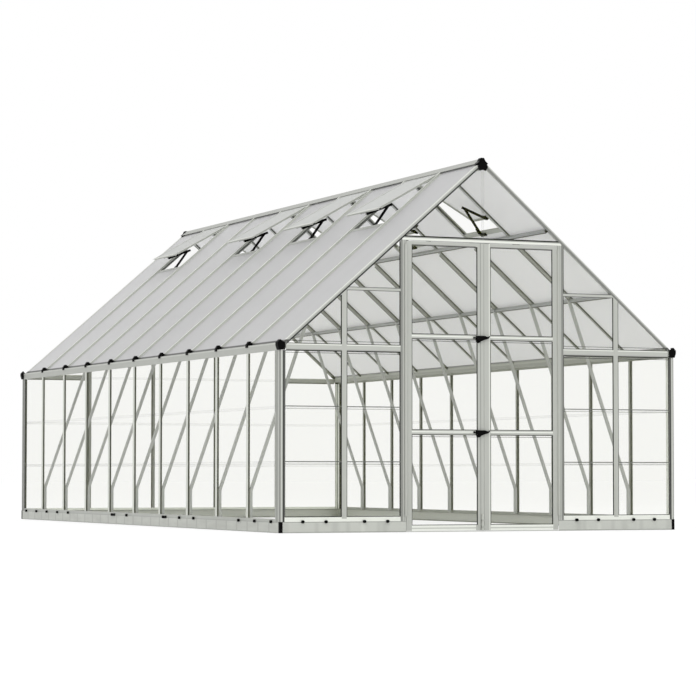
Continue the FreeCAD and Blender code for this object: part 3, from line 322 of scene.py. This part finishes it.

# finishes: the lit skin of each piece, the metal's lightness set piece by piece to how light falls on it, and
# the painted highlight and painted shade lines seen along its edges and grooves
finishes = {
    "barMetal": metal(0.52, 0.47),
    "postMetal": metal(0.60, 0.55, sidePostPaintedLight + gablePostPaintedShade),
    "cornerMetal": metal(0.50, 0.42, (
        # painted light on the corner posts: the inside faces painted near white, the side face and its bands
        # and the gable face bands as painted highlight and painted shade along the profile, and painted shade
        # bands on the back corner posts
        span("y", 0.0, halfLength - 0.0038, grey(0.90), reach=cornerInside),
        beside("x", halfWidth, -0.0012, 0.0010, grey(0.36)),
        beside("y", halfLength, -0.0180, -0.0025, grey(0.29), reach=sideSkin),
        beside("y", halfLength, -0.0360, -0.0180, grey(0.56), reach=sideSkin),
        beside("y", halfLength, -0.0840, -0.0700, grey(0.46), reach=sideSkin),
        beside("x", halfWidth, -0.0070, 0.0, grey(0.29), reach=gableSkin),
        beside("x", halfWidth, -0.0150, -0.0070, paintedLightGreys["pale"], reach=gableSkin),
        beside("x", halfWidth, -0.0330, -0.0220, paintedLightGreys["deep"], reach=gableSkin),
        beside("y", halfLength, -0.0400, -0.0240, paintedLightGreys["dark"], fold=0.0),
        beside("y", halfLength, -0.0840, -0.0680, paintedLightGreys["dark"], fold=0.0))),
    # a painted highlight along the top of the eave beam
    "eaveMetal": metal(0.49, 0.45, (beside("z", eaveZ, 0.010, 0.023, grey(0.58)),)),
    "rafterMetal": metal(0.58, 0.54, (
        # painted light on the rafters: painted shade on the sides below the roof, a painted highlight on the
        # rib top, a painted shade line on the rib's front side in each bay, a grey line on the edge rafters,
        # painted shade along the lower edge of the front edge rafters, darkest on the left slope, and the
        # painted shadow at the roof foot
        beside("roof", roofFace, -0.0185, -0.0095, grey(0.40), reach=betweenGables),
        beside("roof", roofFace, -0.0095, -0.0026, grey(0.20), reach=betweenGables),
        beside("roof", roofFace, 0.0005, 0.0130, grey(0.90)),
        span("y", -0.0080, -0.0066, grey(0.56), fold=0.0, soft=0.0004, period=bayPitch),
        beside("roof", roofFace, -0.0115, -0.0090, grey(0.36), reach=gableSkin),
        beside("roof", roofFace, -0.0260, -0.0110, grey(0.25), fold=0.0, reach=frontSkin),
        beside("leftRoof", roofFace, -0.0260, -0.0155, grey(0.02), fold=0.0, reach=frontSkin),
        roofFootShadow)),
    "transomMetal": metal(0.60, 0.56, (
        # painted light on the transoms: lighter painted shade on the back transom's inner side, a painted
        # highlight on the top with a darker line above it, painted shade on the lower part and along the
        # bottom edge, and painted shade lines along both edges of the short bar
        beside("y", halfLength, -0.0200, -0.0028, grey(0.50), fold=0.0),
        beside("z", gablePlaces["transom"], 0.0150, 0.0215, paintedLightGreys["bright"]),
        beside("z", gablePlaces["transom"], 0.0215, 0.0245, paintedLightGreys["mid"]),
        beside("z", gablePlaces["transom"], -0.0200, -0.0135, grey(0.47)),
        beside("z", gablePlaces["transom"], -0.0245, -0.0200, paintedLightGreys["dark"]),
        beside("z", gablePlaces["bar"], 0.0090, 0.0135, paintedLightGreys["dark"]),
        beside("z", gablePlaces["bar"], -0.0135, -0.0090, paintedLightGreys["dark"]))),
    # a painted highlight: the bottom rails near white at the gables, and the gable pane feet that take this
    # finish
    "railMetal": metal(0.52, 0.47, (beside("y", halfLength, -0.045, 0.010, grey(0.96)),)),
    # the inner braces painted lighter against the shade they stand in: painted light
    "braceMetal": metal(0.55, 0.50, blue=0.97),
    # painted shade in a band along the lower side of each purlin
    "purlinMetal": metal(0.44, 0.40, besideEach(
        "slope", [slopeStart + s for s in purlinPlaces], ((0.0030, 0.0140, grey(0.12)),)), blue=1.02),
    # painted shade on the underside of the rafter channels
    "channelMetal": metal(0.50, 0.45, (beside("roof", roofFace, -0.0370, -0.0338, grey(0.24)),)),
    "ridgeMetal": metal(0.45, 0.41, (beside("y", halfLength, -0.044, 0.010, grey(0.003)),)),
    # door posts and head: darker lines along the outer edge, and a painted highlight across the head with a
    # darker line along its top
    "doorPostMetal": metal(0.60, 0.56, (
        beside("x", doorwayHigh.x, -0.0160, 0.0010, paintedLightGreys["mid"]),
        beside("x", doorwayHigh.x, -0.0320, -0.0250, grey(0.44)),
        beside("z", doorwayHigh.z, -0.0215, -0.0065, paintedLightGreys["bright"]),
        beside("z", doorwayHigh.z, -0.0065, 0.0010, grey(0.42)))),
    "leafMetal": metal(0.58, 0.54, (
        # painted light on the door leaves: a painted highlight along each middle rail with a painted shade
        # line under it, a painted shade line under the top rail, the bottom rail painted near white with a
        # grey line as a painted highlight, and a painted shade line and a painted highlight on the meeting
        # stiles
        *besideEach("z", leafRails, ((-0.0015, 0.0070, paintedLightGreys["bright"]), (-0.0160, -0.0120, grey(0.44))),
                    reach=openRails),
        beside("z", leafHigh, -0.0280, -0.0220, paintedLightGreys["mid"], reach=openRails),
        beside("z", leafLow, 0.0, 0.0380, grey(0.97), reach=openRails),
        beside("z", leafLow, 0.0130, 0.0210, grey(0.66), reach=openRails),
        span("x", -0.0225, -0.0170, grey(0.37), fold=0.0),
        span("x", 0.0460, 0.0530, grey(0.80), fold=0.0))),
    "flapMetal": metal(0.62, 0.58),
    "baseSteel": metal(0.68, 0.46, (
        # base rails: the end faces in one grey with the uneven tone of the zinc in bands, the inside faces
        # painted light against their shade, painted shade along the bottom at the floor, and a darker line
        # along the top edge
        beside("y", baseHigh.y, -0.0015, 0.0010, grey(0.65), soft=0.0003),
        span("x", 0.0, 0.02, grey(0.58), soft=0.03, period=0.37, reach=baseFace),
        span("x", 0.10, 0.11, grey(0.59), soft=0.02, period=0.23, reach=baseFace),
        span("x", 0.30, 0.31, grey(0.72), soft=0.02, period=0.61, reach=baseFace),
        span("y", 0.0, 0.012, grey(0.47), soft=0.01, period=bayPitch / 3, reach=baseSide),
        span("x", 0.0, baseHigh.x - 0.001, grey(0.86), soft=0.0003, reach=baseInside),
        span("z", 0.0, 0.006, grey(0.40)),
        beside("z", baseHigh.z, -0.0050, 0.0005, grey(0.40))),
        scale=5.0, stretch=(2.0, 1.0, 5.0), bump=0.04),
    "brightSteel": metal(0.75, 0.66, Metallic=0.6, Roughness=0.3),
    "blackPlastic": plastic((0.004, 0.004, 0.004), (0.002, 0.002, 0.002), 1.0, scale=200.0, bump=0.05,
                            Roughness=0.55, **{"Specular IOR Level": 0.05}),
    "rubberSeal": plastic((0.030, 0.032, 0.026), (0.020, 0.022, 0.018), 1.0, scale=60.0, Roughness=0.7,
                          **{"Specular IOR Level": 0.05}),
    "clearSheet": plastic((0.47, 0.51, 0.16), (0.43, 0.47, 0.13), 0.034, lines=(
        span("z", doorwayHigh.z - 0.005, ridgeZ + 0.110, (0.20, 0.22, 0.02)),)),
    "roofSheet": plastic((0.555, 0.555, 0.555), (0.525, 0.525, 0.525), 0.87, scale=1.5,
                         stretch=(1.0, 6.0, 1.0), Roughness=0.5, lines=(
        # a painted brightening of the roof towards its back end
        beside("y", halfLength, -0.5, 0.5, (0.62, 0.62, 0.62), fold=0.0, soft=2.6),
        beside(*roofUnder, underSidePaintedLight), roofFootShadow), glowLines=(beside(*roofUnder, underSidePaintedGlow),)),
    "flapSheet": plastic((0.58, 0.59, 0.57), (0.55, 0.56, 0.54), 0.87, scale=1.5, Roughness=0.5, lines=(
        beside(*flapUnder, underSidePaintedLight),), glowLines=(beside(*flapUnder, underSidePaintedGlow),)),
    "jointStrip": plastic((0.22, 0.23, 0.21), (0.19, 0.20, 0.18), 0.03, alphaLines=besideEach(
        "z", sheetJoints, ((0.0055, 0.0115, grey(0.80)), (-0.0115, -0.0085, grey(0.30))), **frontOnly)),
}
finishOf = {"wall_posts": "postMetal", "corner_posts": "cornerMetal", "eave_beams": "eaveMetal",
            "rafters": "rafterMetal", "gable_transoms": "transomMetal", "bottom_rails": "railMetal",
            "inner_braces": "braceMetal", "purlins": "purlinMetal", "ridge_beam": "ridgeMetal",
            "door_frame": "doorPostMetal", "door_leaf_left_frame": "leafMetal",
            "door_leaf_right_frame": "leafMetal", "roof_panels": "roofSheet"}
finishOfSlot = {"galvanised_steel": "baseSteel", "bright_steel": "brightSteel", "mill_aluminium": "barMetal",
                "black_plastic": "blackPlastic", "clear_sheet": "clearSheet", "twin_wall_sheet": "flapSheet",
                "joint_strip": "jointStrip"}
materials = {name: makeFinish(name, look) for name, look in finishes.items()}
slotOf = {part["node"]: part["material_slot"] for part in frame["record"]["subparts"]}
for name, piece in nodes.items():
    finish = finishOf.get(name, finishOfSlot[slotOf[name]])
    if name.startswith("vent_") and name.endswith("_frame"):
        finish = "flapMetal"
    piece.data.materials.clear()
    piece.data.materials.append(materials[finish])
print("materials set")

weldGap = 0.00001


# boxes of the separate sheets of a node, each as its low and high in x, y and z
def sheetBoxes(node):
    shape = bmesh.new()
    shape.from_mesh(nodes[node].data)
    bmesh.ops.remove_doubles(shape, verts=shape.verts, dist=weldGap)
    rest, boxes = set(shape.verts), []
    while rest:
        group, fresh = set(), [rest.pop()]
        while fresh:
            vertex = fresh.pop()
            group.add(vertex)
            near = {edge.other_vert(vertex) for edge in vertex.link_edges} & rest
            rest -= near
            fresh.extend(near)
        boxes.append([(min(v.co[k] for v in group), max(v.co[k] for v in group)) for k in range(3)])
    shape.free()
    return sorted(boxes)


def addBox(shape, x, y, z):
    made = bmesh.ops.create_cube(shape, size=1.0)["verts"]
    size = Vector((x[1] - x[0], y[1] - y[0], z[1] - z[0]))
    middle = Vector((sum(x), sum(y), sum(z))) / 2
    for vertex in made:
        vertex.co = Vector((vertex.co.x * size.x, vertex.co.y * size.y, vertex.co.z * size.z)) + middle


# rounds every edge that meets the corners
def roundEdges(shape, corners, rounding):
    edges = list(dict.fromkeys(edge for corner in corners for edge in corner.link_edges))
    bmesh.ops.bevel(shape, geom=edges, offset=rounding, offset_type="OFFSET", affect="EDGES",
                    segments=2, profile=0.5, material=-1)


def addPiece(name, shape, finish, body):
    mesh = bpy.data.meshes.new(name)
    shape.to_mesh(mesh)
    shape.free()
    mesh.materials.append(materials[finish])
    piece = bpy.data.objects.new(name, mesh)
    scene.collection.objects.link(piece)
    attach(piece, body)


# dark glazing seals along the sight edges of the panes; a cover is how far a bar laps over a pane
sealLook = {"left": 0.0045, "right": 0.0075, "level": 0.0045, "proud": 0.0012, "bead": 0.0170,
            "beadLine": 0.0030, "foot": 0.0110}
leafCover = {"side": 0.0127, "end": 0.0127, "rail": 0.0137}


# seals round one pane, with a pale bead and its dark line under the upper one where it is wanted
def addSeals(shape, beads, x, y, z, look, topBead):
    depth = (y[0] - look["proud"], y[0])
    left, right, level = look["left"], look["right"], look["level"]
    addBox(shape, (x[0], x[0] + left), depth, z)
    addBox(shape, (x[1] - right, x[1]), depth, z)
    inner = (x[0] + left, x[1] - right)
    addBox(shape, inner, depth, (z[0], z[0] + level))
    addBox(shape, inner, depth, (z[1] - level, z[1]))
    if topBead:
        low = z[1] - look["bead"]
        rim = low + look["beadLine"]
        addBox(shape, inner, depth, (low, rim))
        addBox(beads, inner, depth, (rim, z[1] - level))


def makeDoorSeals(side, look, cover):
    shape, beads = bmesh.new(), bmesh.new()
    panes = sorted(sheetBoxes("door_leaf_%s_panels" % side), key=lambda pane: pane[2][0])
    for index, (x, y, z) in enumerate(panes):
        first, last = index == 0, index == len(panes) - 1
        low = z[0] + (cover["end"] if first else cover["rail"])
        high = z[1] - (cover["end"] if last else cover["rail"])
        sight = (x[0] + cover["side"], x[1] - cover["side"])
        addSeals(shape, beads, sight, y, (low, high), look, not last)
    name = side.capitalize()
    addPiece("doorSeals" + name, shape, "rubberSeal", "door_" + side)
    addPiece("doorBeads" + name, beads, "jointStrip", "door_" + side)


# rafter is how far the edge rafter hangs below the roof plane
gableCover = {"post": 0.0162, "edge": 0.0127, "foot": 0.0177, "transom": 0.0217, "bar": 0.0107,
              "header": 0.0117, "rafter": 0.026}


# lower edge of the edge rafter at a place across the gable
def rafterFoot(x, cover):
    return ridgeZ - (abs(x) * roofSin + cover["rafter"]) / roofCos


# sight edges of a gable pane in x
def gableSight(x, cover, places):
    sight = []
    for edge, turn in zip(x, (1.0, -1.0)):
        atPost = abs(abs(edge) - places["post"]) < places["postReach"]
        sight.append(edge + turn * cover["post" if atPost else "edge"])
    return sight


# the panes of the front gable, as columns below the transom, above it and above the short bar
def makeGableSeals(look, cover, places):
    shape, beads, feet = bmesh.new(), bmesh.new(), bmesh.new()
    columns = {}
    for x, y, z in sheetBoxes("gable_panels"):
        if y[1] < 0.0:
            part = "low" if z[1] < places["transom"] else "bar" if z[0] > places["bar"] else "high"
            columns.setdefault((part, round(x[0], 3)), []).append((x, y, z))
    for key, panes in columns.items():
        part, x, y = key[0], panes[0][0], panes[0][1]
        low, high = min(pane[2][0] for pane in panes), max(pane[2][1] for pane in panes)
        depth = (y[0] - look["proud"], y[0])
        if max(abs(x[0]), abs(x[1])) < doorwayHigh.x:
            low += cover["header"]
            addBox(shape, x, depth, (low, low + 2 * look["level"]))
            continue
        sight = gableSight(x, cover, places)
        if part == "low":
            low += cover["foot"]
            top = low + look["foot"]
            addBox(feet, sight, depth, (low, top))
            addSeals(shape, beads, sight, y, (top, high - cover["transom"]), look, True)
            continue
        low += cover["transom" if part == "high" else "bar"]
        for edge, wide in ((sight[0], look["left"]), (sight[1], -look["right"])):
            top = min(high, rafterFoot(edge, cover), rafterFoot(edge + wide, cover))
            if top > low:
                addBox(shape, sorted((edge, edge + wide)), depth, (low, top))
        if part == "high":
            addBox(shape, sight, depth, (low, low + look["beadLine"]))
            addBox(shape, sight, depth, (low + look["bead"], low + look["bead"] + look["beadLine"]))
    addPiece("gableSeals", shape, "rubberSeal", "structure")
    addPiece("gableBeads", beads, "jointStrip", "structure")
    addPiece("gableFeet", feet, "railMetal", "structure")


for side in ("left", "right"):
    makeDoorSeals(side, sealLook, leafCover)
makeGableSeals(sealLook, gableCover, gablePlaces)
print("glazing seals made")

# black plates that hold the vent openers: one under each sill and one under the foot of each flap
openerPlate = {"half": 0.045, "sillS": (0.613, 0.641), "sillN": (-0.028, -0.0182),
               "flapS": (0.556, 0.593), "flapN": (-0.014, -0.0062), "rounding": 0.003}


# a plate in slope coordinates, turned about the line of the flap hinges
def addPlate(shape, side, y, s, n, half, turn, rounding):
    made = bmesh.ops.create_cube(shape, size=1.0)["verts"]
    for vertex in made:
        reach = s[0] + (vertex.co.x + 0.5) * (s[1] - s[0]) - flapHinge["s"]
        rise = n[0] + (vertex.co.z + 0.5) * (n[1] - n[0])
        turned = (flapHinge["s"] + reach * math.cos(turn) - rise * math.sin(turn),
                  reach * math.sin(turn) + rise * math.cos(turn))
        vertex.co = onSlope(side, *turned, y + vertex.co.y * 2 * half)
    roundEdges(shape, made, rounding)
    bmesh.ops.recalc_face_normals(shape, faces=shape.faces)


def makeOpenerPlates(look, hinge):
    sills = bmesh.new()
    vents = [name for name in nodes if name.startswith("vent_") and name.endswith("_panel")]
    for name in sorted(vents):
        low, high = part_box(name)
        side, y = math.copysign(1.0, low.x + high.x), (low.y + high.y) / 2
        addPlate(sills, side, y, look["sillS"], look["sillN"], look["half"], 0.0, look["rounding"])
        flap = bmesh.new()
        addPlate(flap, side, y, look["flapS"], look["flapN"], look["half"], hinge["open"], look["rounding"])
        number = name.split("_")[1]
        addPiece("ventPlate" + number, flap, "blackPlastic", "vent_%s_flap" % number)
    addPiece("sillPlates", sills, "blackPlastic", "structure")


makeOpenerPlates(openerPlate, flapHinge)
print("opener plates made")

# channels under the rafters between the purlins; past is the room left at the upper and the lower one
rafterChannel = {"half": 0.011, "n": (-0.0352, -0.0212), "past": (0.048, 0.018), "rounding": 0.001}


def makeRafterChannels(look, purlins):
    shape = bmesh.new()
    run = (purlins[0] + look["past"][0], purlins[1] - look["past"][1])
    for side in (-1.0, 1.0):
        for bay in range(1, bayCount):
            y = bay * bayPitch - halfLength
            addPlate(shape, side, y, run, look["n"], look["half"], 0.0, look["rounding"])
    addPiece("rafterChannels", shape, "channelMetal", "structure")


makeRafterChannels(rafterChannel, purlinPlaces)
print("rafter channels made")

# black hoods over the ends of the ridge, half an outline in x and in z from the ridge, y from the end
ridgeHood = {"outline": ((0.012, 0.0195), (0.043, -0.0400), (0.043, -0.0440)), "y": (0.0, 0.044),
             "rounding": 0.002}

# black crowns on the eave hooks, outline in x from the wall and in z from the eave
hookCrown = {"outline": ((0.008, 0.029), (-0.007, 0.052), (-0.025, 0.052), (-0.022, 0.029)),
             "half": 0.016, "rounding": 0.002}


# an outline in x and z drawn out along y
def addPrism(shape, outline, y, rounding):
    face = shape.faces.new([shape.verts.new((x, y[0], z)) for x, z in outline])
    swept = bmesh.ops.extrude_face_region(shape, geom=[face])["geom"]
    moved = [part for part in swept if isinstance(part, bmesh.types.BMVert)]
    bmesh.ops.translate(shape, verts=moved, vec=(0.0, y[1] - y[0], 0.0))
    bmesh.ops.recalc_face_normals(shape, faces=shape.faces)
    roundEdges(shape, list(face.verts) + moved, rounding)


def makeRidgeHoods(look):
    half = [(x, ridgeZ + z) for x, z in look["outline"]]
    outline = half + [(-x, z) for x, z in reversed(half)]
    shape = bmesh.new()
    for end in (-1.0, 1.0):
        addPrism(shape, outline, [end * (halfLength - y) for y in look["y"]], look["rounding"])
    addPiece("ridgeHoods", shape, "blackPlastic", "structure")


def makeHookCrowns(look):
    shape = bmesh.new()
    for side in (-1.0, 1.0):
        outline = [(side * (halfWidth + x), eaveZ + z) for x, z in look["outline"]]
        for bay in range(1, bayCount):
            y = bay * bayPitch - halfLength
            addPrism(shape, outline, (y - look["half"], y + look["half"]), look["rounding"])
    addPiece("hookCrowns", shape, "blackPlastic", "structure")


makeRidgeHoods(ridgeHood)
makeHookCrowns(hookCrown)
print("roof end covers made")

# black lugs that hold the rings under the latches, outline in x and in z from the bolt, y from the latch face
latchLug = {"outline": ((-0.046, -0.0135), (-0.041, -0.036), (-0.030, -0.033), (-0.022, -0.0245),
                        (0.0, -0.0155), (0.0, -0.0135)), "y": (0.001, 0.0145), "rounding": 0.001}


def makeLatchLugs(look):
    shape = bmesh.new()
    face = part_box("latch_bodies")[0].y
    for bolt in ("upper_latch_bolt", "lower_latch_bolt"):
        low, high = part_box(bolt)
        level = (low.z + high.z) / 2
        outline = [(x, level + z) for x, z in look["outline"]]
        addPrism(shape, outline, [face + y for y in look["y"]], look["rounding"])
    addPiece("latchLugs", shape, "blackPlastic", "door_left")


makeLatchLugs(latchLug)
print("latch lugs made")

# floor and studio light; sheetsPassed is how many sheets a ray may pass in a row
studio = {"floorSize": 120.0, "floorDrop": 0.002, "floorRoughness": 0.9, "floorColor": (0.90, 0.90, 0.90),
          "floorSeen": (0.30, 0.30, 0.30), "floorGlow": 0.765, "worldDiffuse": 0.80, "sheetsPassed": 32,
          "aim": (0.0, 0.0, 1.2),
          "key": {"place": (-9.0, -12.0, 12.0), "size": 9.0, "power": 500.0},
          "top": {"place": (4.0, 2.0, 14.0), "size": 12.0, "power": 300.0}}
plainWhite = (1.0, 1.0, 1.0, 1.0)


# 1 where the eye, a gloss or a glass looks at the stage, 0 where it only sends light
def seenRay(tree):
    path = tree.nodes.new("ShaderNodeLightPath")
    seen = path.outputs["Is Camera Ray"]
    for name in ("Is Glossy Ray", "Is Transmission Ray"):
        most = tree.nodes.new("ShaderNodeMath")
        most.operation = "MAXIMUM"
        tree.links.new(seen, most.inputs[0])
        tree.links.new(path.outputs[name], most.inputs[1])
        seen = most.outputs[0]
    return seen


def seenLevel(tree, seen, low, high, socket):
    level = tree.nodes.new("ShaderNodeMapRange")
    level.inputs["To Min"].default_value = low
    level.inputs["To Max"].default_value = high
    tree.links.new(seen, level.inputs["Value"])
    tree.links.new(level.outputs["Result"], socket)


def makeFloor(look):
    mesh = bpy.data.meshes.new("floor")
    shape = bmesh.new()
    bmesh.ops.create_grid(shape, x_segments=1, y_segments=1, size=look["floorSize"])
    bmesh.ops.translate(shape, verts=shape.verts, vec=(0.0, 0.0, -look["floorDrop"]))
    shape.to_mesh(mesh)
    shape.free()
    floor = bpy.data.objects.new("floor", mesh)
    scene.collection.objects.link(floor)
    material, tree, shader = newMaterial("floorPaint")
    shader.inputs["Roughness"].default_value = look["floorRoughness"]
    shader.inputs["Specular IOR Level"].default_value = 0.0
    shader.inputs["Emission Color"].default_value = plainWhite
    seen = seenRay(tree)
    seenLevel(tree, seen, 0.0, look["floorGlow"], shader.inputs["Emission Strength"])
    paint = tree.nodes.new("ShaderNodeMix")
    paint.data_type = "RGBA"
    paint.inputs["A"].default_value = (*look["floorColor"], 1.0)
    paint.inputs["B"].default_value = (*look["floorSeen"], 1.0)
    tree.links.new(seen, paint.inputs["Factor"])
    tree.links.new(paint.outputs["Result"], shader.inputs["Base Color"])
    mesh.materials.append(material)


def makeLight(name, look, target):
    data = bpy.data.lights.new(name, "AREA")
    data.size = look["size"]
    data.energy = look["power"]
    lamp = bpy.data.objects.new(name, data)
    scene.collection.objects.link(lamp)
    lamp.location = look["place"]
    aim = Vector(target) - lamp.location
    lamp.rotation_euler = aim.to_track_quat("-Z", "Y").to_euler()


def makeWorld(look):
    world = bpy.data.worlds.new("studio")
    world.use_nodes = True
    scene.world = world
    tree = world.node_tree
    background = tree.nodes["Background"]
    background.inputs["Color"].default_value = plainWhite
    seenLevel(tree, seenRay(tree), look["worldDiffuse"], 1.0, background.inputs["Strength"])


makeFloor(studio)
makeLight("keyLight", studio["key"], studio["aim"])
makeLight("topLight", studio["top"], studio["aim"])
makeWorld(studio)
scene.view_settings.view_transform = "Standard"
scene.cycles.transparent_max_bounces = studio["sheetsPassed"]
print("stage lit")
